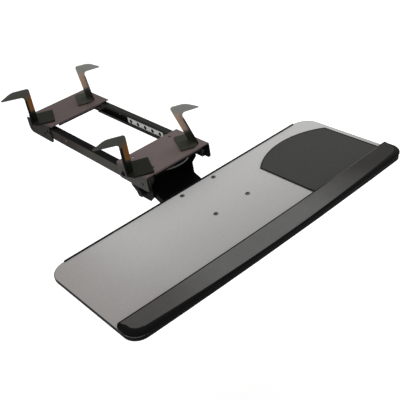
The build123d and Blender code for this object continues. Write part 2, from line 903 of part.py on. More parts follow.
# Height lock: bolt through the arm and the yoke's slots, knob on the left
lock_left = -yoke_half - 1.7
with BuildPart() as lock_bolt:
    with BuildSketch(side(lock_left - knob_length + 4)):
        with Locations(lock_point):
            Circle(lock_r)
    extrude(amount=yoke_half + 0.5 - (lock_left - knob_length + 4))
    with BuildSketch(side(yoke_half + 0.5)):
        with Locations(lock_point):
            RegularPolygon(lock_r * 2, 6)
    extrude(amount=4)
save(lock_bolt.part, "lock_bolt")

with BuildPart() as lock_spacer:
    with BuildSketch(side(-arm_inner)):
        with Locations(lock_point):
            Circle(spacer_r)
            Circle(lock_r, mode=Mode.SUBTRACT)
    extrude(amount=2 * arm_inner)
save(lock_spacer.part, "lock_spacer")

with BuildPart() as lock_washer:
    with BuildSketch(side(-yoke_half - 0.3)):
        with Locations(lock_point):
            Circle(lock_r + 4)
            Circle(lock_r, mode=Mode.SUBTRACT)
    extrude(amount=-1.2)
save(lock_washer.part, "lock_washer")
save(
    knob(lock_left, knob_length, knob_r, lock_r + pivot_gap, lock_point, -1),
    "lock_knob",
)

# Tray board: bowed front, rounded corners, thin laminate and edge band
tray_half = tray_width / 2
strip_half = tray_half - strip_inset
mat_right = tray_half - mat_inset
mat_left = mat_right - mat_width
mat_front = palm_back + mat_gap
board_under = tray_top - tray_sheet
core_top = tray_top - laminate


def tray_outline(inset):
    """Plan of the board, set in from its edge."""
    half = tray_half - inset
    back = tray_back - inset
    side_front = tray_front + tray_bow + inset
    with BuildSketch() as plan:
        with BuildLine():
            Line((half, side_front), (half, back))
            Line((half, back), (-half, back))
            Line((-half, back), (-half, side_front))
            ThreePointArc((-half, side_front), (0, tray_front + inset), (half, side_front))
        make_face()
        fillet(vertices().group_by(Axis.Y)[-1], radius=back_corner - inset)
        fillet(vertices().group_by(Axis.Y)[0], radius=front_corner - inset)
    return plan.sketch


bracket_under = board_under - cheek_sheet
screw_spots = [(x, y) for x in (screw_middle - screw_x, screw_middle + screw_x) for y in screw_y]

with BuildPart() as tray_board:
    with BuildSketch(Plane.XY.offset(board_under)):
        add(tray_outline(band))
    extrude(amount=tray_sheet - laminate)
    with BuildSketch(Plane.XY.offset(board_under)):
        with Locations(*screw_spots):
            Circle(screw_r)
    extrude(amount=tray_sheet, mode=Mode.SUBTRACT)
save(tray_board.part, "tray_board")

with BuildPart() as tray_laminate:
    with BuildSketch(Plane.XY.offset(core_top)):
        add(tray_outline(band))
        with Locations(*screw_spots):
            Circle(screw_r, mode=Mode.SUBTRACT)
    extrude(amount=laminate)
save(tray_laminate.part, "tray_laminate")

with BuildPart() as edge_band:
    with BuildSketch(Plane.XY.offset(board_under)):
        add(tray_outline(0))
    extrude(amount=tray_sheet)
    with BuildSketch(Plane.XY.offset(board_under)):
        add(tray_outline(band))
    extrude(amount=tray_sheet, mode=Mode.SUBTRACT)
save(edge_band.part, "edge_band")

with BuildPart() as back_strip:
    with BuildSketch(Plane.XY.offset(tray_top)):
        with Locations((0, tray_back - strip_depth / 2)):
            SlotOverall(2 * strip_half, strip_depth)
    extrude(amount=strip_height)
save(back_strip.part, "back_strip")

mat_side = -mat_shoulder
with BuildPart() as mouse_mat:
    with BuildSketch(Plane.XY.offset(tray_top)):
        with BuildLine():
            Line((mat_left, mat_front), (mat_right, mat_front))
            Line((mat_right, mat_front), (mat_right, mat_side))
            ThreePointArc(
                (mat_right, mat_side),
                ((mat_left + mat_right) / 2, mat_side + mat_crown),
                (mat_left, mat_side),
            )
            Line((mat_left, mat_side), (mat_left, mat_front))
        make_face()
    extrude(amount=mat_sheet)
    chamfer(mouse_mat.faces().sort_by(Axis.Z)[-1].edges(), length=mat_edge)
save(mouse_mat.part, "mouse_mat")


def palm_outline(overhang):
    """Plan of the palm rest: straight back, bowed front, round front corners."""
    half = tray_half - palm_inset + overhang / 2
    side_front = tray_front + tray_bow + 1 - overhang
    with BuildSketch() as plan:
        with BuildLine():
            Line((half, side_front), (half, palm_back))
            Line((half, palm_back), (-half, palm_back))
            Line((-half, palm_back), (-half, side_front))
            ThreePointArc(
                (-half, side_front), (0, tray_front + 1 - overhang), (half, side_front)
            )
        make_face()
        fillet(vertices().group_by(Axis.Y)[0], radius=front_corner - 2)
        fillet(vertices().group_by(Axis.Y)[-1], radius=7)
    return plan.sketch


with BuildPart() as palm_rest_base:
    with BuildSketch(Plane.XY.offset(tray_top)):
        add(palm_outline(0))
    extrude(amount=palm_base_height)
save(palm_rest_base.part, "palm_rest_base")

with BuildPart() as palm_rest_pad:
    with BuildSketch(Plane.XY.offset(tray_top + palm_base_height)):
        add(palm_outline(palm_nose))
    extrude(amount=palm_pad_height)
    fillet(palm_rest_pad.faces().sort_by(Axis.Z)[-1].edges(), radius=palm_round)
    fillet(palm_rest_pad.faces().sort_by(Axis.Z)[0].edges(), radius=2.5)
save(palm_rest_pad.part, "palm_rest_pad")

# Tray bracket: plate under the board with ears on the tilt axis
ear_half_length = 13.0
with BuildPart() as tray_bracket:
    middle, depth = span(*sorted(bracket_y))
    with BuildSketch(Plane.XY.offset(board_under)):
        with Locations((0, middle)):
            RectangleRounded(2 * bracket_half, depth, 8)
        with Locations(*screw_spots):
            Circle(screw_r, mode=Mode.SUBTRACT)
    extrude(amount=-cheek_sheet)
    for sign in (-1, 1):
        with BuildSketch(side(sign * arm_outer)):
            with BuildLine():
                Polyline(
                    (tilt_point[0] - ear_half_length - 8, bracket_under),
                    (tilt_point[0] - ear_half_length - 8, bracket_under - 4),
                    (tilt_point[0] - eye_r, tilt_point[1]),
                    (tilt_point[0] + eye_r, tilt_point[1]),
                    (tilt_point[0] + ear_half_length, bracket_under - 4),
                    (tilt_point[0] + ear_half_length, bracket_under),
                    close=True,
                )
            make_face()
            with Locations(tilt_point):
                Circle(eye_r)
            with Locations(tilt_point):
                Circle(tilt_r, mode=Mode.SUBTRACT)
        extrude(amount=-sign * (cheek_sheet - 0.3))
    with BuildSketch(Plane.XY.offset(bracket_under)):
        with Locations((0, bracket_y[1] + 4)):
            Rectangle(2 * bracket_half - 24, 3)
        with Locations((0, middle - 6)):
            Rectangle(3, 40)
    extrude(amount=-3)
save(tray_bracket.part, "tray_bracket")

tray_screws = []
for x, y in screw_spots:
    with BuildPart() as screw:
        with BuildSketch(Plane.XY.offset(bracket_under - 5)):
            with Locations((x, y)):
                Circle(screw_r)
        extrude(amount=tray_top - bracket_under + 5)
        with BuildSketch(Plane.XY.offset(tray_top)):
            with Locations((x, y)):
                Circle(screw_head_r)
        extrude(amount=screw_head)
        fillet(screw.faces().sort_by(Axis.Z)[-1].edges(), radius=0.9)
        with BuildSketch(Plane.XY.offset(bracket_under)):
            with Locations((x, y)):
                RegularPolygon(nut_r, 6)
        extrude(amount=-nut_height)
    tray_screws.append(screw.part)
save(Compound(children=tray_screws), "tray_screws")

# Tilt clamp: bolt across the head, knob on the right under the board
tilt_right = arm_outer + 1.5
with BuildPart() as tilt_bolt:
    with BuildSketch(side(-arm_outer)):
        with Locations(tilt_point):
            Circle(tilt_r)
    extrude(amount=arm_outer + tilt_right + tilt_knob_length - 4)
    with BuildSketch(side(-arm_outer)):
        with Locations(tilt_point):
            RegularPolygon(tilt_r * 1.9, 6)
    extrude(amount=-5)
save(tilt_bolt.part, "tilt_bolt")

with BuildPart() as tilt_spacer:
    with BuildSketch(side(-head_inner)):
        with Locations(tilt_point):
            Circle(tilt_r + 2.5)
            Circle(tilt_r + pivot_gap, mode=Mode.SUBTRACT)
    extrude(amount=2 * head_inner)
save(tilt_spacer.part, "tilt_spacer")

with BuildPart() as tilt_washer:
    with BuildSketch(side(arm_outer)):
        with Locations(tilt_point):
            Circle(tilt_r + 5)
            Circle(tilt_r, mode=Mode.SUBTRACT)
    extrude(amount=1.2)
save(tilt_washer.part, "tilt_washer")
save(
    knob(tilt_right, tilt_knob_length, tilt_knob_r, tilt_r + pivot_gap, tilt_point, 1),
    "tilt_knob",
)
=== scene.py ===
"""A hook-in keyboard tray under soft studio light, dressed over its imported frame."""
import json
import math

import bmesh
import bpy
from mathutils import Matrix, Vector

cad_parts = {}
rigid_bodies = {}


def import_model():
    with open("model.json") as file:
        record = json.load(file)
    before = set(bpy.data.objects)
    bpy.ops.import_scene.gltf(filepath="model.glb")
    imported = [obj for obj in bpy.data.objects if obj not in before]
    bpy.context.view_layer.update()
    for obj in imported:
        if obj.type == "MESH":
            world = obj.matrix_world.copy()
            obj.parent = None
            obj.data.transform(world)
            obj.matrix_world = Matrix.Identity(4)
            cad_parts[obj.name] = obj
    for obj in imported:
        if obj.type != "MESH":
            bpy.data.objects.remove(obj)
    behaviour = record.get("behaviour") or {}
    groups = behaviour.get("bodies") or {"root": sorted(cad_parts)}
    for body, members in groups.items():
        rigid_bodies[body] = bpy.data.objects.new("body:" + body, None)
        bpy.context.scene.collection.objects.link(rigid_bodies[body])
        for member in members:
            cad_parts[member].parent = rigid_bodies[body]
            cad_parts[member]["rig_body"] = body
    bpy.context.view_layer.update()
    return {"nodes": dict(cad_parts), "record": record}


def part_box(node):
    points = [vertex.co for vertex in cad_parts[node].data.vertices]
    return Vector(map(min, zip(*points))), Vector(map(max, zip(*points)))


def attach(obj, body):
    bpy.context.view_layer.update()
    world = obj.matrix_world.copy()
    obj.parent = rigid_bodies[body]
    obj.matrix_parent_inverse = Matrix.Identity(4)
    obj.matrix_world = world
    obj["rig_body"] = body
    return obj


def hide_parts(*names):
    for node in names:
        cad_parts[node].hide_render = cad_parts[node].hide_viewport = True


MM = 0.001
UP = Vector((0.0, 0.0, 1.0))
WELD = 0.002 * MM
SHARP = math.radians(35)
CORNERS = ("front_left", "front_right", "rear_left", "rear_right")

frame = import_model()
nodes = frame["nodes"]


class Wire:
    """A value that runs through a node tree; arithmetic on it adds Math nodes."""

    def __init__(self, steps, socket):
        self.steps = steps
        self.socket = socket

    def _math(self, operation, *values):
        return self.steps.node("ShaderNodeMath", {"operation": operation}, *values)

    def __add__(self, other):
        return self._math("ADD", self, other)

    def __radd__(self, other):
        return self._math("ADD", other, self)

    def __sub__(self, other):
        return self._math("SUBTRACT", self, other)

    def __rsub__(self, other):
        return self._math("SUBTRACT", other, self)

    def __mul__(self, other):
        return self._math("MULTIPLY", self, other)

    def __rmul__(self, other):
        return self._math("MULTIPLY", other, self)

    def __truediv__(self, other):
        return self._math("DIVIDE", self, other)

    def larger(self, other):
        return self._math("MAXIMUM", self, other)

    def root(self):
        return self._math("SQRT", self)

    def sine(self):
        return self._math("SINE", self)

    def to_and_fro(self, width):
        """Runs up to width and back to 0, over and over."""
        return self._math("PINGPONG", self, width)

    def clamp(self):
        return self.steps.node("ShaderNodeClamp", {}, self)

    def step(self, low, high):
        """0 below low, 1 above high, smooth between."""
        settings = {"interpolation_type": "SMOOTHSTEP"}
        return self.steps.node("ShaderNodeMapRange", settings, self, low, high)

    def fall(self, low, high):
        """1 below low, 0 above high, smooth between."""
        return 1.0 - self.step(low, high)


class Nodes:
    """A node tree under construction."""

    def __init__(self, tree):
        self.tree = tree

    def plug(self, socket, value):
        if isinstance(value, Wire):
            self.tree.links.new(value.socket, socket)
        elif isinstance(value, tuple) and len(value) == 3 and socket.type == "RGBA":
            socket.default_value = (*value, 1.0)
        else:
            socket.default_value = value

    def node(self, kind, settings, *values, out=None, **named):
        """Adds one node: its settings first, then its inputs by place or by name."""
        made = self.tree.nodes.new(kind)
        for setting, value in settings.items():
            setattr(made, setting, value)
        for socket, value in zip([s for s in made.inputs if s.enabled], values):
            self.plug(socket, value)
        for socket, value in named.items():
            self.plug(made.inputs[socket.replace("_", " ")], value)
        return Wire(self, made.outputs[out] if out else next(s for s in made.outputs if s.enabled))


class Finish(Nodes):
    """A Principled material under construction."""

    def __init__(self, name, **fixed):
        self.material = bpy.data.materials.new(name)
        self.material.use_nodes = True
        super().__init__(self.material.node_tree)
        self.shader = next(n for n in self.tree.nodes if n.type == "BSDF_PRINCIPLED")
        for socket, value in fixed.items():
            self.set(socket.replace("_", " "), value)

    def set(self, socket, value):
        self.plug(self.shader.inputs[socket], value)

    def place(self):
        """Object coordinates, in metres in the row frame."""
        return self.node("ShaderNodeTexCoord", {}, out="Object")

    def axes(self, place=None):
        """The X, Y and Z of a place as three wires."""
        place = place or self.place()
        return [self.node("ShaderNodeSeparateXYZ", {}, place, out=axis) for axis in "XYZ"]

    def noise(self, scale, detail=3.0, roughness=0.5, at=None):
        return self.node(
            "ShaderNodeTexNoise",
            {},
            Vector=at or self.place(),
            Scale=scale,
            Detail=detail,
            Roughness=roughness,
        )

    def drawn_lines(self, stretch):
        """Fine lines, drawn out along the axis with the smallest stretch."""
        place = self.node("ShaderNodeMapping", {}, self.place(), Scale=stretch)
        return self.noise(260.0, 3.0, at=place)

    def rubbed(self):
        """Patches where handling has worn the paint."""
        return self.noise(70.0, 5.0, 0.65).step(0.58, 0.78)

    def cells(self, scale):
        return self.node("ShaderNodeTexVoronoi", {}, Vector=self.place(), Scale=scale)

    def mix(self, factor, first, second):
        """A colour between two colours."""
        return self.node("ShaderNodeMix", {"data_type": "RGBA"}, factor, first, second)

    def clouded(self, factor, colour, share):
        """A colour that goes down to a share of itself."""
        return self.mix(factor, colour, tuple(c * share for c in colour))

    def relief(self, height, strength, distance):
        bump = self.node(
            "ShaderNodeBump", {}, Height=height, Strength=strength, Distance=distance
        )
        self.set("Normal", bump)

    def orange_peel(self, strength=0.12):
        """The close ripple of sprayed paint."""
        self.relief(self.noise(900.0, 2.0), strength, 0.2 * MM)


def powder_coat(name, colour, worn, roughness, shine):
    """Satin powder coat: orange-peel bump, faint mottling, paler rubbed patches."""
    coat = Finish(name, Specular_IOR_Level=shine)
    base = coat.clouded(coat.noise(18.0, 4.0), colour, 0.82)
    coat.set("Base Color", coat.mix(coat.rubbed() * 0.35, base, worn))
    coat.set("Roughness", roughness + coat.noise(40.0) * 0.14 - 0.07)
    coat.orange_peel()
    return coat.material


def plate_paint(name, plate, side_shade_tone, top_depth, ear_y=None):
    """Bronze on a cross plate's top, with painted shade darkening it towards the back and down its
    sides.

    In millimetres: the top's colour reaches top_depth down. The painted shade on the sides
    is a darker tone, black on the front lip, on the right half and on an ear that starts at ear_y.
    """
    bronze_near, bronze_dark = (0.142, 0.110, 0.106), (0.118, 0.091, 0.087)
    bronze_back_shade = (0.094, 0.070, 0.067)
    bronze_worn = (0.130, 0.110, 0.104)
    side_shade_black = (0.004, 0.003, 0.003)
    far_y, right_x = (60.0, 300.0), (60.0, 70.0)
    lip_edge, top_fade, ear_fade = (2.2, 2.8), 1.5, 2.0
    coat = Finish(name, Specular_IOR_Level=0.08)
    x, y, z = coat.axes()
    mottle = coat.noise(18.0, 4.0)
    bronze = coat.mix(mottle, bronze_near, bronze_dark)
    # Painted shade: the bronze darkens towards the back
    bronze = coat.mix((y / MM).step(*far_y), bronze, bronze_back_shade)
    bronze = coat.mix(coat.rubbed() * 0.3, bronze, bronze_worn)
    down = (z / MM).fall(-top_depth - top_fade, -top_depth)
    low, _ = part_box(plate)
    # Painted shade on the sides: a darker tone, and black on the front lip, the right half and the
    # ear
    black = (x / MM).step(*right_x)
    if ear_y is not None:
        black = (y / MM).step(ear_y - ear_fade, ear_y + ear_fade) + black
    black = (black + ((y - low.y) / MM).fall(*lip_edge)) * down
    side = coat.mix(black.clamp(), coat.clouded(mottle, side_shade_tone, 0.8), side_shade_black)
    coat.set("Base Color", coat.mix(down, bronze, side))
    coat.set("Roughness", 0.44 + coat.noise(40.0) * 0.14)
    coat.orange_peel()
    return coat.material


def rail_paint():
    """Olive-bronze on the outer web, darkened towards the back by painted shade, black on the top
    and the folded edges.
    """
    olive_near, olive_dark = (0.096, 0.089, 0.080), (0.076, 0.070, 0.063)
    olive_back_shade = (0.046, 0.040, 0.036)
    fold_black = (0.003, 0.003, 0.003)
    web_edge, top_band, far_y = (0.2, 0.6), (-5.7, -4.7), (140.0, 240.0)
    coat = Finish("left rail paint", Specular_IOR_Level=0.015)
    x, y, z = coat.axes()
    low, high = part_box("left_rail")
    web = ((x - low.x) / MM).fall(*web_edge) * ((z - high.z) / MM).fall(*top_band)
    mottle = coat.noise(22.0, 4.0)
    olive = coat.mix(mottle, olive_near, olive_dark)
    # Painted shade: the olive darkens towards the back
    olive = coat.mix((y / MM).step(*far_y), olive, olive_back_shade)
    coat.set("Base Color", coat.mix(web, fold_black, olive))
    coat.set("Roughness", 0.45 + mottle * 0.12)
    coat.orange_peel()
    return coat.material


DRAWN_ALONG_Y = (30.0, 1.0, 30.0)
HOLE_PITCH = 25.4 * MM
HOLE_SHADE_EDGE = (4.2, 4.8)


def index_steel(name):
    """Bright steel strip, its row of holes painted dark as shade, soft at the rims."""
    steel = Finish(name, Metallic=1.0)
    _, y, z = steel.axes()
    low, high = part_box(name)
    middle = (low + high) / 2
    along = (y - middle.y).to_and_fro(HOLE_PITCH / 2)
    across = z - middle.z
    reach = (along * along + across * across).root()
    # Painted shade in the holes
    hole_shade = (reach / MM).fall(*HOLE_SHADE_EDGE)
    lines = steel.drawn_lines(DRAWN_ALONG_Y)
    bright = steel.mix(lines, (0.60, 0.60, 0.59), (0.46, 0.46, 0.45))
    steel.set("Base Color", steel.mix(hole_shade, bright, (0.01, 0.01, 0.01)))
    steel.set("Roughness", 0.26 + lines * 0.12)
    return steel.material


def plated_steel(name, colour, roughness=0.32, stretch=(1.0, 1.0, 1.0)):
    """Plated steel with drawing lines along one axis and dull spots."""
    steel = Finish(name, Metallic=1.0)
    lines = steel.drawn_lines(stretch)
    steel.set("Base Color", steel.clouded(lines, colour, 0.75))
    steel.set("Roughness", roughness + steel.noise(35.0, 4.0) * 0.2 - 0.06)
    steel.relief(lines, 0.08, 0.15 * MM)
    return steel.material


def moulded_plastic(name, colour, roughness, shine):
    """Fine-grained moulded plastic."""
    plastic = Finish(name, Specular_IOR_Level=shine)
    plastic.set("Base Color", plastic.clouded(plastic.noise(30.0), colour, 0.8))
    plastic.set("Roughness", roughness + plastic.noise(60.0) * 0.12 - 0.06)
    plastic.relief(plastic.noise(1400.0, 2.0), 0.15, 0.12 * MM)
    return plastic.material


def silver_laminate():
    """Satin grey laminate with a fine fleck, with painted shade darker at the left and in front.
    """
    left_x, front_y = (-0.32, -0.14), (-0.27, -0.10)
    sheet = Finish("silver laminate", Specular_IOR_Level=0.05)
    x, y, _ = sheet.axes()
    fleck = sheet.cells(900.0).step(0.25, 0.75)
    cloud = sheet.noise(5.0, 3.0).step(0.3, 0.7)
    # Painted shade: darker tones at the left and in front than at the lit back
    left_shade_tone = sheet.mix(fleck, (0.375, 0.352, 0.342), (0.325, 0.305, 0.296))
    back = sheet.mix(fleck, (0.530, 0.526, 0.518), (0.470, 0.466, 0.459))
    near = sheet.mix(fleck, (0.420, 0.414, 0.406), (0.370, 0.364, 0.357))
    right_tone = sheet.mix(y.step(*front_y), near, back)
    along = (x + cloud * 0.03).step(*left_x)
    sheet.set("Base Color", sheet.mix(along, left_shade_tone, right_tone))
    sheet.set("Roughness", 0.34 + cloud * 0.06)
    sheet.relief(sheet.noise(1500.0, 2.0), 0.06, 0.1 * MM)
    return sheet.material


THREAD = 0.9 * MM


def woven_mat():
    """Close dark grey cloth: a plain weave of fine threads."""
    cloth = Finish("mat cloth", Sheen_Weight=0.05, Specular_IOR_Level=0.15)
    x, y, _ = cloth.axes()
    turns = 2 * math.pi / THREAD
    weave = (x * turns).sine() * (y * turns).sine() * 0.5 + 0.5
    fuzz = cloth.noise(420.0, 4.0)
    shade = cloth.mix(weave, (0.039, 0.039, 0.037), (0.030, 0.030, 0.029))
    cloth.set("Base Color", cloth.mix(fuzz.step(0.4, 0.75), shade, (0.044, 0.043, 0.041)))
    cloth.set("Roughness", 0.85 - fuzz * 0.1)
    cloth.relief(weave + fuzz * 0.5, 0.35, 0.15 * MM)
    return cloth.material


def palm_cover():
    """Grained leatherette: grey-brown on top with painted shade towards both ends,
    and painted black shade on the roll round it, paler along the back at the right.

    The cushion's roll attribute is above 0 on the top and below 0 outside it.
    """
    top_near, top_dark = (0.140, 0.139, 0.137), (0.114, 0.112, 0.111)
    right_end_shade = (0.027, 0.026, 0.023)
    left_end_shade = (0.068, 0.064, 0.060)
    roll_shade = (0.003, 0.003, 0.003)
    paler_back_shade = (0.062, 0.060, 0.052)
    right_x, left_x = (100.0, 320.0), (-260.0, -40.0)
    pale_shade_y, pale_shade_from_x, pale_shade_to_x = (-292.0, -286.0), (110.0, 170.0), (288.0, 296.0)
    skin = Finish("palm cover", Specular_IOR_Level=0.05)
    x, y, _ = skin.axes()
    inside = skin.node("ShaderNodeAttribute", {"attribute_name": "roll"}, out="Fac")
    creases = skin.noise(60.0, 4.0, 0.6)
    along = (x + skin.noise(9.0, 2.0) * 0.12) / MM
    upper = skin.mix(creases, top_near, top_dark)
    # Painted shade: the top darkens towards its right and left ends
    upper = skin.mix(along.step(*right_x), upper, right_end_shade)
    upper = skin.mix(along.fall(*left_x), upper, left_end_shade)
    # Painted shade: the roll round the top is black, paler along the back at the right
    seam = (y / MM).step(*pale_shade_y) * (x / MM).step(*pale_shade_from_x) * (x / MM).fall(*pale_shade_to_x)
    outer = skin.mix(seam, roll_shade, paler_back_shade)
    skin.set("Base Color", skin.mix(inside.step(-0.25, 0.25), outer, upper))
    skin.set("Roughness", 0.5 + creases * 0.15)
    skin.relief(skin.cells(620.0) * 0.7 + creases * 0.3, 0.25, 0.25 * MM)
    return skin.material


def raw_fibreboard():
    """Brown compressed fibres."""
    board = Finish("fibreboard", Roughness=0.8)
    fibres = board.noise(240.0, 5.0, 0.7)
    board.set("Base Color", board.mix(fibres, (0.05, 0.036, 0.026), (0.025, 0.02, 0.016)))
    board.relief(fibres, 0.3, 0.2 * MM)
    return board.material


# The left and right hooks are one part: their tones differ as painted shade on the left hooks and
# painted light on the right ones
# In millimetres: outer_face is out from the middle of the hook's nuts, fold and
# TINT_END are in from that face, and the other heights are up from the plates
HOOK_SIDES = {
    "left": {
        "turn": math.radians(155),
        "outer_face": 30.0,
        "tint_from": 24.0,
        "fold": 4.5,
        "beak": (0.088, 0.090, 0.079),
        "foot": (0.009, 0.010, 0.006),
        "painted_reflection": (0.22, 0.087, 0.022),
    },
    "right": {
        "turn": math.radians(-25),
        "outer_face": 18.0,
        "tint_from": 20.0,
        "fold": 2.0,
        "beak": (0.35, 0.35, 0.33),
        "foot": (0.038, 0.038, 0.029),
        "painted_reflection": (0.62, 0.43, 0.32),
    },
}
HOOK_LEAN = {"front_right": math.radians(18.0), "rear_right": math.radians(6.0)}
TINT_RISE = 8.0
TINT_TOP = (52.0, 72.0)
TINT_END = (16.5, 18.0)
TINT_FADE = 2.0
FOLD_TOP = (52.0, 58.0)
FOLD_FADE = 1.0
FOLD_SHADE = (0.008, 0.008, 0.007)
FOOT_BELOW = 6.0
FOOT_ABOVE = 16.0


def hook_paint(corner):
    """Olive paint with a painted orange reflection up its upright, painted shade along its outer
    fold, and darker on its foot.
    """
    side = HOOK_SIDES[corner.split("_")[1]]
    paint = Finish("hook " + corner.replace("_", " "), Specular_IOR_Level=0.03)
    low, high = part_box("hook_nuts_" + corner)
    centre = (low + high) / 2
    turn = Matrix.Rotation(-side["turn"], 3, "Z")
    local = paint.node(
        "ShaderNodeMapping",
        {},
        paint.place(),
        Location=tuple(-(turn @ Vector((centre.x, centre.y, 0.0)))),
        Rotation=(0.0, 0.0, -side["turn"]),
    )
    across, _, z = paint.axes(local)
    lean = math.tan(HOOK_LEAN.get(corner, 0.0))
    depth = side["outer_face"] - (across + z * lean) / MM
    height = z / MM
    start, edge = side["tint_from"], side["fold"]
    upright = height.step(start, start + TINT_RISE) * height.fall(*TINT_TOP)
    # Painted reflection: an orange band up the inner part of the upright
    reflection = depth.step(edge, edge + TINT_FADE) * depth.fall(*TINT_END) * upright
    # Painted shade: black along the upright's outer fold, standing in for its shaded outer face
    fold = depth.fall(edge - FOLD_FADE, edge + FOLD_FADE) * height.fall(*FOLD_TOP)
    mottle = paint.noise(40.0, 4.0)
    olive = paint.clouded(mottle, side["beak"], 0.85)
    lower = height.fall(start - FOOT_BELOW, start + FOOT_ABOVE)
    olive = paint.mix(lower, olive, side["foot"])
    olive = paint.mix(fold.clamp(), olive, FOLD_SHADE)
    reflected_tone = paint.clouded(mottle, side["painted_reflection"], 0.75)
    paint.set("Base Color", paint.mix(reflection.clamp(), olive, reflected_tone))
    paint.set("Roughness", 0.42 + mottle * 0.12)
    paint.orange_peel(0.1)
    return paint.material


zinc = plated_steel("zinc plate", (0.16, 0.16, 0.16))
drawn_zinc = plated_steel("drawn zinc", (0.085, 0.085, 0.084), 0.3, DRAWN_ALONG_Y)
dull_zinc = plated_steel("dull zinc", (0.085, 0.082, 0.080), 0.45)
oxide = plated_steel("black oxide", (0.012, 0.012, 0.012), 0.35)
trim = moulded_plastic("black trim", (0.006, 0.006, 0.006), 0.42, 0.06)

FINISH_OF = {
    "black_paint": powder_coat(
        "black paint", (0.003, 0.003, 0.003), (0.010, 0.010, 0.010), roughness=0.4, shine=0.04
    ),
    "zinc_steel": zinc,
    "black_bolt": oxide,
    "nylon": moulded_plastic("nylon", (0.4, 0.39, 0.36), 0.5, 0.25),
    "fibreboard": raw_fibreboard(),
    "silver_laminate": silver_laminate(),
    "black_edge": trim,
    "mat_cloth": woven_mat(),
    "palm_cover": palm_cover(),
    "knob_plastic": moulded_plastic("knob plastic", (0.006, 0.006, 0.006), 0.5, 0.1),
}

OWN_FINISH = {
    "front_cross_plate": plate_paint(
        "front plate paint",
        "front_cross_plate",
        side_shade_tone=(0.088, 0.084, 0.076),
        top_depth=2.5,
    ),
    "rear_cross_plate": plate_paint(
        "rear plate paint",
        "rear_cross_plate",
        side_shade_tone=(0.019, 0.016, 0.014),
        top_depth=3.0,
        ear_y=388.0,
    ),
    "left_rail": rail_paint(),
    "right_rail": powder_coat(
        "right rail paint", (0.015, 0.016, 0.014), (0.03, 0.03, 0.028), roughness=0.45, shine=0.04
    ),
    "left_slide": drawn_zinc,
    "right_slide": drawn_zinc,
    "left_index_strip": index_steel("left_index_strip"),
    "right_index_strip": index_steel("right_index_strip"),
}
for corner in CORNERS:
    OWN_FINISH["hook_" + corner] = hook_paint(corner)

SLOT_OF = {entry["node"]: entry["material_slot"] for entry in frame["record"]["subparts"]}


def paint_over(piece, material):
    piece.data.materials.clear()
    piece.data.materials.append(material)


for name, slot in SLOT_OF.items():
    paint_over(nodes[name], OWN_FINISH[name] if name in OWN_FINISH else FINISH_OF[slot])


def stand(name, data):
    """A new object in the scene."""
    piece = bpy.data.objects.new(name, data)
    bpy.context.scene.collection.objects.link(piece)
    return piece


def settle(piece):
    """Turns a piece's modifiers into plain mesh."""
    evaluated = piece.evaluated_get(bpy.context.evaluated_depsgraph_get())
    mesh = bpy.data.meshes.new_from_object(evaluated)
    piece.modifiers.clear()
    piece.data = mesh


# Fasteners: one turned shape for each kind, set out by Geometry Nodes
AROUND = 36
CHAMFER = 0.84
TIP = 0.8
BREAK = 0.5


def round_edge(angle):
    return 1.0


def hex_edge(angle):
    """Reach of a hexagon of unit corner radius."""
    sector = math.radians(60)
    return math.cos(sector / 2) / math.cos(angle % sector - sector / 2)


def bridge(shape, lower, upper):
    """Faces between two loops of equal length."""
    for n in range(len(lower)):
        after = (n + 1) % len(lower)
        shape.faces.new((lower[n], lower[after], upper[after], upper[n]))


def turned_shape(name, rings):
    """A closed shape from (edge, radius, height) rings, in millimetres, bottom first."""
    shape = bmesh.new()
    loops = []
    for edge, radius, height in rings:
        loop = []
        for n in range(AROUND):
            angle = 2 * math.pi * n / AROUND
            reach = radius * edge(angle) * MM
            point = (reach * math.cos(angle), reach * math.sin(angle), height * MM)
            loop.append(shape.verts.new(point))
        loops.append(loop)
    for lower, upper in zip(loops, loops[1:]):
        bridge(shape, lower, upper)
    shape.faces.new(loops[0][::-1])
    shape.faces.new(loops[-1])
    mesh = bpy.data.meshes.new(name)
    shape.to_mesh(mesh)
    shape.free()
    for face in mesh.polygons:
        face.use_smooth = len(face.vertices) == 4
    mesh.set_sharp_from_angle(angle=SHARP)
    return bpy.data.objects.new(name, mesh)


def clamped(shank_r, end, nut_r, nut_top, nut_bottom):
    """Shank below the head's seat, with a hexagon nut on it."""
    return [
        (round_edge, shank_r * TIP, -end),
        (round_edge, shank_r, -end + BREAK),
        (round_edge, shank_r, -nut_bottom),
        (round_edge, nut_r * CHAMFER, -nut_bottom),
        (hex_edge, nut_r, -nut_bottom + BREAK),
        (hex_edge, nut_r, -nut_top - BREAK),
        (round_edge, nut_r * CHAMFER, -nut_top),
        (round_edge, shank_r, -nut_top),
        (round_edge, shank_r, 0.0),
    ]


def riveted(shank_r, end, closed_r, closed, shoulder_r=0.0, shoulder=0.0):
    """Shank below the head's seat, closed over at its end, perhaps shouldered."""
    rings = [
        (round_edge, closed_r * 0.5, -end),
        (round_edge, closed_r * 0.85, -end),
        (round_edge, closed_r, -end + closed * 0.5),
        (round_edge, closed_r, -end + closed),
        (round_edge, shank_r, -end + closed),
    ]
    if shoulder:
        rings.append((round_edge, shank_r, -shoulder))
        rings.append((round_edge, shoulder_r, -shoulder))
        rings.append((round_edge, shoulder_r, 0.0))
    else:
        rings.append((round_edge, shank_r, 0.0))
    return rings


def button_head(head_r, head):
    """Button head with a hex socket."""
    socket = head_r * 0.46
    return [
        (round_edge, head_r, 0.0),
        (round_edge, head_r, head * 0.25),
        (round_edge, head_r * 0.93, head * 0.6),
        (round_edge, head_r * 0.78, head * 0.88),
        (round_edge, head_r * 0.62, head),
        (hex_edge, socket * 1.08, head),
        (hex_edge, socket, head * 0.9),
        (hex_edge, socket, head * 0.25),
        (round_edge, socket * 0.3, head * 0.15),
    ]


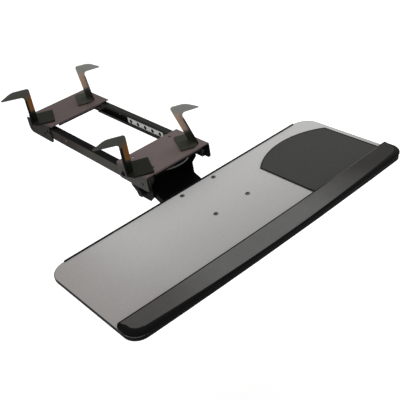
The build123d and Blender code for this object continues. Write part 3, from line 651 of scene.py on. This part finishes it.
def domed_head(head_r, head):
    """Low domed rivet head with a struck centre."""
    return [
        (round_edge, head_r, 0.0),
        (round_edge, head_r, head * 0.25),
        (round_edge, head_r * 0.92, head * 0.6),
        (round_edge, head_r * 0.72, head * 0.88),
        (round_edge, head_r * 0.45, head),
        (round_edge, head_r * 0.32, head * 0.72),
    ]


def washer_and_nut(washer_r, washer, nut_r, height):
    """A washer and a chamfered hexagon nut, seated at zero."""
    top = washer + height
    return [
        (round_edge, washer_r, 0.0),
        (round_edge, washer_r, washer),
        (round_edge, nut_r * 0.9, washer),
        (hex_edge, nut_r * 0.99, washer + 0.4),
        (hex_edge, nut_r * 0.99, top - 0.6),
        (round_edge, nut_r * CHAMFER, top),
        (round_edge, nut_r * 0.6, top - 0.1),
    ]


def setting_out_tree():
    """Stands a copy of one piece on each point, turned to the point's aim."""
    tree = bpy.data.node_groups.new("set out", "GeometryNodeTree")
    face = tree.interface
    face.new_socket("Points", in_out="INPUT", socket_type="NodeSocketGeometry")
    face.new_socket("Piece", in_out="INPUT", socket_type="NodeSocketObject")
    face.new_socket("Size", in_out="INPUT", socket_type="NodeSocketFloat")
    face.new_socket("Material", in_out="INPUT", socket_type="NodeSocketMaterial")
    face.new_socket("Pieces", in_out="OUTPUT", socket_type="NodeSocketGeometry")
    steps = Nodes(tree)

    def given(name):
        return steps.node("NodeGroupInput", {}, out=name)

    settings = {"data_type": "FLOAT_VECTOR"}
    aim = steps.node("GeometryNodeInputNamedAttribute", settings, Name="aim")
    facing = steps.node("FunctionNodeAlignRotationToVector", {"axis": "Z"}, Vector=aim)
    pattern = steps.node("GeometryNodeObjectInfo", {}, Object=given("Piece"), out="Geometry")
    stood = steps.node(
        "GeometryNodeInstanceOnPoints",
        {},
        Points=given("Points"),
        Instance=pattern,
        Rotation=facing,
        Scale=given("Size"),
    )
    solid = steps.node("GeometryNodeRealizeInstances", {}, Geometry=stood)
    coated = steps.node("GeometryNodeSetMaterial", {}, Geometry=solid, Material=given("Material"))
    result = tree.nodes.new("NodeGroupOutput")
    steps.plug(result.inputs["Pieces"], coated)
    return tree


SET_OUT = setting_out_tree()
SET_OUT_SOCKET = {item.name: item.identifier for item in SET_OUT.interface.items_tree}


def solids_of(name):
    """The box of each separate solid in a node, from left to right."""
    shape = bmesh.new()
    shape.from_mesh(nodes[name].data)
    bmesh.ops.remove_doubles(shape, verts=shape.verts, dist=WELD)
    waiting = set(shape.verts)
    boxes = []
    while waiting:
        front = [waiting.pop()]
        found = []
        while front:
            corner = front.pop()
            found.append(corner.co.copy())
            for edge in corner.link_edges:
                near = edge.other_vert(corner)
                if near in waiting:
                    waiting.remove(near)
                    front.append(near)
        low = Vector([min(point[n] for point in found) for n in range(3)])
        high = Vector([max(point[n] for point in found) for n in range(3)])
        boxes.append((low, high))
    shape.free()
    return sorted(boxes, key=lambda box: tuple(box[0]))


def fasten(name, rings, seat, material):
    """Puts detailed fasteners where a node's plain ones are.

    seat gives a solid's (point, direction) from its box.
    """
    spots = [seat(low, high) for low, high in solids_of(name)]
    pattern = turned_shape(name + "_pattern", rings)
    mesh = bpy.data.meshes.new(name + "_detailed")
    mesh.from_pydata([point for point, _ in spots], [], [])
    aim = mesh.attributes.new("aim", "FLOAT_VECTOR", "POINT")
    for value, (_, direction) in zip(aim.data, spots):
        value.vector = direction
    piece = stand(name + "_detailed", mesh)
    placing = piece.modifiers.new("set out", "NODES")
    placing.node_group = SET_OUT
    placing[SET_OUT_SOCKET["Piece"]] = pattern
    placing[SET_OUT_SOCKET["Size"]] = 1.0
    placing[SET_OUT_SOCKET["Material"]] = material
    settle(piece)
    bpy.data.objects.remove(pattern)
    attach(piece, nodes[name]["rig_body"])
    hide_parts(name)
    return piece


def outward(head):
    """Seat of a fastener along X with its head away from the middle."""

    def seat(low, high):
        middle = (low + high) / 2
        facing = 1.0 if middle.x > 0 else -1.0
        end = high.x if facing > 0 else low.x
        return (end - facing * head * MM, middle.y, middle.z), (facing, 0.0, 0.0)

    return seat


def upward(head):
    """Seat of a fastener along Z with its head on top."""

    def seat(low, high):
        middle = (low + high) / 2
        return (middle.x, middle.y, high.z - head * MM), (0.0, 0.0, 1.0)

    return seat


NUT_CLEAR = 0.02 * MM


def hanging(low, high):
    """Seat of a nut that hangs under a sheet, just clear of it."""
    middle = (low + high) / 2
    return (middle.x, middle.y, high.z - NUT_CLEAR), (0.0, 0.0, -1.0)


def headed(name, shank, head, facing, material):
    """Fastens with a shank and a (shape, radius, height) head that faces one way."""
    shape, radius, height = head
    fasten(name, shank + shape(radius, height), facing(height), material)


PIVOT_HEAD = (domed_head, 6.5, 2.0)
PIVOT = {"shank_r": 4.0, "closed_r": 5.5, "closed": 1.5}

headed(
    "tray_screws",
    clamped(shank_r=2.5, end=13.5, nut_r=4.6, nut_top=8.5, nut_bottom=12.1),
    (button_head, 4.5, 1.6),
    upward,
    dull_zinc,
)
headed(
    "slide_bolts",
    clamped(shank_r=3.0, end=15.9, nut_r=5.2, nut_top=11.4, nut_bottom=14.9),
    (button_head, 5.5, 3.0),
    outward,
    oxide,
)
headed(
    "rail_rivets",
    riveted(shank_r=2.4, end=5.6, closed_r=3.9, closed=1.0),
    (domed_head, 4.2, 1.5),
    outward,
    oxide,
)
headed("upper_rear_pivots", riveted(end=8.2, **PIVOT), PIVOT_HEAD, outward, dull_zinc)
headed(
    "lower_rear_pivots",
    riveted(end=15.7, shoulder_r=5.0, shoulder=11.1, **PIVOT),
    PIVOT_HEAD,
    outward,
    oxide,
)
headed("upper_front_pivots", riveted(end=7.2, **PIVOT), PIVOT_HEAD, outward, oxide)
headed(
    "lower_front_pivots",
    riveted(end=8.7, shoulder_r=5.0, shoulder=4.1, **PIVOT),
    PIVOT_HEAD,
    outward,
    oxide,
)
fasten(
    "swivel_nut",
    washer_and_nut(washer_r=12.0, washer=1.6, nut_r=10.0, height=7.0),
    hanging,
    zinc,
)
for corner in CORNERS:
    fasten(
        "hook_nuts_" + corner,
        washer_and_nut(washer_r=4.6, washer=1.0, nut_r=4.6, height=3.6),
        hanging,
        zinc,
    )

# Softened copies: how far each sheet-metal or moulded piece has its edges eased
EASED = {
    "front_cross_plate": 0.5,
    "rear_cross_plate": 0.5,
    "left_rail": 0.4,
    "right_rail": 0.4,
    "hook_front_left": 0.6,
    "hook_front_right": 0.6,
    "hook_rear_left": 0.6,
    "hook_rear_right": 0.6,
    "yoke": 0.5,
    "arm_cover": 0.5,
    "lower_links": 0.4,
    "tray_head": 0.5,
    "tray_bracket": 0.5,
    "edge_band": 0.4,
    "swivel_disc": 0.4,
    "lock_knob": 0.5,
    "tilt_knob": 0.6,
}


def eased_copy(name, width):
    """A copy of a node with its sharp edges rounded over by width millimetres."""
    source = nodes[name]
    mesh = bpy.data.meshes.new(name + "_eased")
    shape = bmesh.new()
    shape.from_mesh(source.data)
    bmesh.ops.remove_doubles(shape, verts=shape.verts, dist=WELD)
    bmesh.ops.dissolve_limit(
        shape, angle_limit=math.radians(1.0), verts=shape.verts, edges=shape.edges
    )
    for face in shape.faces:
        face.smooth = True
    shape.to_mesh(mesh)
    shape.free()
    for stale in [a for a in mesh.attributes if a.name == "custom_normal"]:
        mesh.attributes.remove(stale)
    mesh.materials.append(source.data.materials[0])
    piece = stand(name + "_eased", mesh)
    rounding = piece.modifiers.new("rounding", "BEVEL")
    rounding.width = width * MM
    rounding.segments = 2
    rounding.limit_method = "ANGLE"
    rounding.angle_limit = SHARP
    rounding.use_clamp_overlap = True
    shading = piece.modifiers.new("shading", "WEIGHTED_NORMAL")
    shading.keep_sharp = False
    settle(piece)
    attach(piece, source["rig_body"])
    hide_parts(name)
    return piece


for name, width in EASED.items():
    eased_copy(name, width)


def ringed(name, loops, run=0):
    """A closed mesh through loops of equal length, bottom first, capped at both ends.

    With a run the top is laid in strips across, from the first run points of the
    loop to those that start half-way round.
    """
    shape = bmesh.new()
    rows = [[shape.verts.new(point) for point in loop] for loop in loops]
    for lower, upper in zip(rows, rows[1:]):
        bridge(shape, lower, upper)
    shape.faces.new(rows[0][::-1])
    top = rows[-1]
    if run:
        far = len(top) // 2 + run - 1
        for n in range(run - 1):
            shape.faces.new((top[n], top[n + 1], top[far - n - 1], top[far - n]))
        shape.faces.new(top[run - 1 : far - run + 2])
        shape.faces.new(top[far:] + top[:1])
    else:
        shape.faces.new(top)
    for face in shape.faces:
        face.smooth = True
    mesh = bpy.data.meshes.new(name)
    shape.to_mesh(mesh)
    shape.free()
    return stand(name, mesh)


# Palm rest: its long sides bow, and it reaches PALM_BACK and PALM_END past its pad
FRONT_BOW = 5.0 * MM
BACK_BOW = 0.9 * FRONT_BOW
PALM_BACK = 1.8 * MM
PALM_END = 3.5 * MM
FRONT_ROUND = 27.0 * MM
BACK_ROUND = 5.0 * MM
LEAST_ROUND = 3.0 * MM
CORNER_EASE = 8
FRONT_STEPS = 16
BACK_STEPS = 8
END_STEPS = 6
HALF_RUN = 60
PALM_RUN = 2 * HALF_RUN + 1

# In millimetres: the foot as (inset, lift), the insets of the loops over the roll and
# top, how wide and deep the roll is, and how far in the top's colour starts at the back
PALM_FOOT = ((2.5, 0.0), (0.8, 0.8), (0.0, 2.3), (0.0, 3.2))
PALM_INSETS = (0.0, 0.4, 0.9, 1.4, 2, 3, 4, 5, 6, 7, 8, 9, 10, 11, 12.5, 14, 16)
FRONT_ROLL = 1.5
END_ROLL = 10.5
ROLL_PAST = 2.5
ROLL_DEPTH = 4.0
ROLL_SLOPE = 0.25
BACK_ROLL = 1.6
BACK_LINE = 3.6
SEAM_GROOVE = 0.2
OUTSIDE = -5.0


def palm_loop(low, high, inset):
    """Plan of the palm rest set in by inset, as (x, y, backness, roll width)."""
    reach = (high.x - low.x) / 2 + PALM_END
    half = reach - inset
    front_r = max(FRONT_ROUND - inset, LEAST_ROUND)
    back_r = max(BACK_ROUND - inset, LEAST_ROUND)
    points = []

    def back_y(x):
        return high.y + PALM_BACK - inset + BACK_BOW * (x / reach) ** 2

    def front_y(x):
        return low.y + inset + FRONT_BOW * (x / reach) ** 2

    def add(x, y, backness, ended=0.0):
        front_roll = FRONT_ROLL + (END_ROLL - FRONT_ROLL) * (x / reach) ** 2
        points.append((x, y, backness, front_roll * (1 - ended) + END_ROLL * ended))

    def arc(x, y, r, start, steps, first=0.0, last=0.0):
        for n in range(1, steps):
            share = n / steps
            angle = math.radians(start + 90.0 * share)
            backness = first + (last - first) * share
            add(x + r * math.cos(angle), y + r * math.sin(angle), backness, 1.0)

    def side(sign):
        for n in range(END_STEPS + 1):
            share = n / END_STEPS if sign < 0 else 1.0 - n / END_STEPS
            add(sign * half, back_side * (1 - share) + front_side * share, 0.0, 1.0)

    back_side = back_y(half) - back_r
    front_side = front_y(half) + front_r
    corner_rise = front_y(half) - front_y(half - front_r)
    for n in range(PALM_RUN):
        x = (half - back_r) * (1.0 - n / HALF_RUN)
        add(x, back_y(x), 1.0)
    arc(-half + back_r, back_side, back_r, 90.0, BACK_STEPS, first=1.0)
    side(-1)
    arc(-half + front_r, front_side, front_r, 180.0, FRONT_STEPS)
    for n in range(PALM_RUN):
        x = (half - front_r) * (n / HALF_RUN - 1.0)
        add(x, front_y(x) + corner_rise * (abs(x) / half) ** CORNER_EASE, 0.0)
    arc(half - front_r, front_side, front_r, 270.0, FRONT_STEPS)
    side(1)
    arc(half - back_r, back_side, back_r, 0.0, BACK_STEPS, last=1.0)
    return points


def palm_drop(inset, backness, width):
    """How far the cover lies below its top, inset millimetres in from the outline."""

    def roll(radius, depth):
        share = min(inset / radius, 1.0)
        return depth * (1.0 - math.sqrt(1.0 - (1.0 - share) ** 2))

    seam = SEAM_GROOVE * math.exp(-((inset - width) ** 2))
    front = roll(width + ROLL_PAST, ROLL_DEPTH + ROLL_SLOPE * width) + seam
    return backness * roll(BACK_ROLL, BACK_ROLL) + (1.0 - backness) * front


def palm_cushion():
    """The gel palm rest: flat top, rolled front and ends, a tight roll along its back."""
    low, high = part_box("palm_rest_pad")
    loops = []
    roll = []
    for inset, lift in PALM_FOOT:
        loop = palm_loop(low, high, inset * MM)
        loops.append([(x, y, low.z + lift * MM) for x, y, _, _ in loop])
        roll += [OUTSIDE] * len(loop)
    for inset in PALM_INSETS:
        loop = palm_loop(low, high, inset * MM)
        loops.append([(x, y, high.z - palm_drop(inset, b, w) * MM) for x, y, b, w in loop])
        roll += [inset - BACK_LINE * b - w * (1.0 - b) for _, _, b, w in loop]
    piece = ringed("palm_cushion", loops, PALM_RUN)
    layer = piece.data.attributes.new("roll", "FLOAT", "POINT")
    for item, value in zip(layer.data, roll):
        item.value = value
    paint_over(piece, FINISH_OF["palm_cover"])
    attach(piece, "tray")
    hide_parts("palm_rest_pad")
    return piece


palm_cushion()


BEAD_AROUND = 10


def bead(name, path, radius):
    """A closed round bead along a path of points on one level."""
    loops = []
    for n, point in enumerate(path):
        before = path[max(n - 1, 0)]
        after = path[min(n + 1, len(path) - 1)]
        across = (after - before).normalized().cross(UP)
        loop = []
        for k in range(BEAD_AROUND):
            angle = 2 * math.pi * k / BEAD_AROUND
            loop.append(point + (across * math.cos(angle) + UP * math.sin(angle)) * radius)
        loops.append(loop)
    return ringed(name, loops)


BINDING_R = 1.3 * MM
BINDING_IN = 0.4 * BINDING_R
BINDING_START = 3.0 * MM
BINDING_DOWN = 0.5 * MM
BINDING_STEPS = 40
MAT_CORNER_Y = -135.0 * MM


def mat_binding():
    """Sewn black binding up the mouse mat's straight sides and round its bowed back."""
    low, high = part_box("mouse_mat")
    left, right = low.x + BINDING_IN, high.x - BINDING_IN
    half = (right - left) / 2
    crown = high.y - MAT_CORNER_Y
    bend = (half**2 + crown**2) / (2 * crown)
    sweep = math.asin(half / bend)
    level = high.z - BINDING_DOWN
    middle = Vector(((left + right) / 2, high.y - BINDING_IN - bend, level))
    path = [Vector((right, low.y + BINDING_START, level))]
    for n in range(BINDING_STEPS + 1):
        angle = math.pi / 2 - sweep + 2 * sweep * n / BINDING_STEPS
        path.append(middle + Vector((math.cos(angle), math.sin(angle), 0)) * bend)
    path.append(Vector((left, low.y + BINDING_START, level)))
    piece = bead("mat_binding", path, BINDING_R)
    paint_over(piece, trim)
    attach(piece, "tray")
    return piece


mat_binding()

# Studio: a pale floor, a plain sky and two soft lamps
FLOOR_Z = -0.42
FLOOR_REACH = 6.0
FLOOR_GLOW = 0.5
SKY_ON_OBJECT = 0.6
SKY_SEEN = 1.0


def floor():
    """Pale floor, lifted towards white where the camera sees it."""
    mesh = bpy.data.meshes.new("floor")
    reach = FLOOR_REACH
    plan = ((-reach, -reach), (reach, -reach), (reach, reach), (-reach, reach))
    mesh.from_pydata([(x, y, FLOOR_Z) for x, y in plan], [], [(0, 1, 2, 3)])
    piece = stand("floor", mesh)
    surface = Finish(
        "floor", Base_Color=(0.9, 0.9, 0.9), Roughness=0.9, Emission_Strength=1.0
    )
    seen = surface.node("ShaderNodeLightPath", {}, out="Is Camera Ray")
    surface.set("Emission Color", seen * FLOOR_GLOW)
    paint_over(piece, surface.material)


floor()


def sky():
    """A white sky, dimmer where it lights the object than where it is seen."""
    world = bpy.data.worlds.new("studio")
    world.use_nodes = True
    bpy.context.scene.world = world
    steps = Nodes(world.node_tree)
    background = next(n for n in steps.tree.nodes if n.type == "BACKGROUND")
    camera_ray = steps.node("ShaderNodeLightPath", {}, out="Is Camera Ray")
    glossy_ray = steps.node("ShaderNodeLightPath", {}, out="Is Glossy Ray")
    seen = camera_ray.larger(glossy_ray)
    strength = steps.node(
        "ShaderNodeMapRange", {}, seen, To_Min=SKY_ON_OBJECT, To_Max=SKY_SEEN
    )
    steps.plug(background.inputs["Color"], (1.0, 1.0, 1.0))
    steps.plug(background.inputs["Strength"], strength)


sky()


def lamp(name, place, target, size, power):
    """A soft square lamp aimed at a point."""
    data = bpy.data.lights.new(name, "AREA")
    data.shape = "SQUARE"
    data.size = size
    data.energy = power
    piece = stand(name, data)
    piece.location = place
    aim = Vector(target) - Vector(place)
    piece.rotation_euler = aim.to_track_quat("-Z", "Y").to_euler()


lamp("key", place=(1.1, 0.2, 1.3), target=(0.05, -0.1, 0.0), size=1.2, power=12.8)
lamp("fill", place=(-1.8, -1.6, 1.2), target=(0.0, 0.0, 0.0), size=1.5, power=6.0)

# Camera: the photograph's station and lens
CAMERA_PLACE = Vector((-0.633, -0.985, 0.652))
CAMERA_RIGHT = Vector((0.745056, -0.649992, -0.149670))
CAMERA_UP = Vector((0.460930, 0.339548, 0.819909))
CAMERA_BACK = Vector((-0.482114, -0.679865, 0.552584))
CAMERA_LENS = 63.07
SENSOR_WIDTH = 36.0

camera_data = bpy.data.cameras.new("camera")
camera_data.sensor_width = SENSOR_WIDTH
camera_data.lens = CAMERA_LENS
camera = stand("camera", camera_data)
facing = Matrix((CAMERA_RIGHT, CAMERA_UP, CAMERA_BACK)).transposed().to_4x4()
camera.matrix_world = Matrix.Translation(CAMERA_PLACE) @ facing
bpy.context.scene.camera = camera
bpy.context.scene.view_settings.view_transform = "Standard"
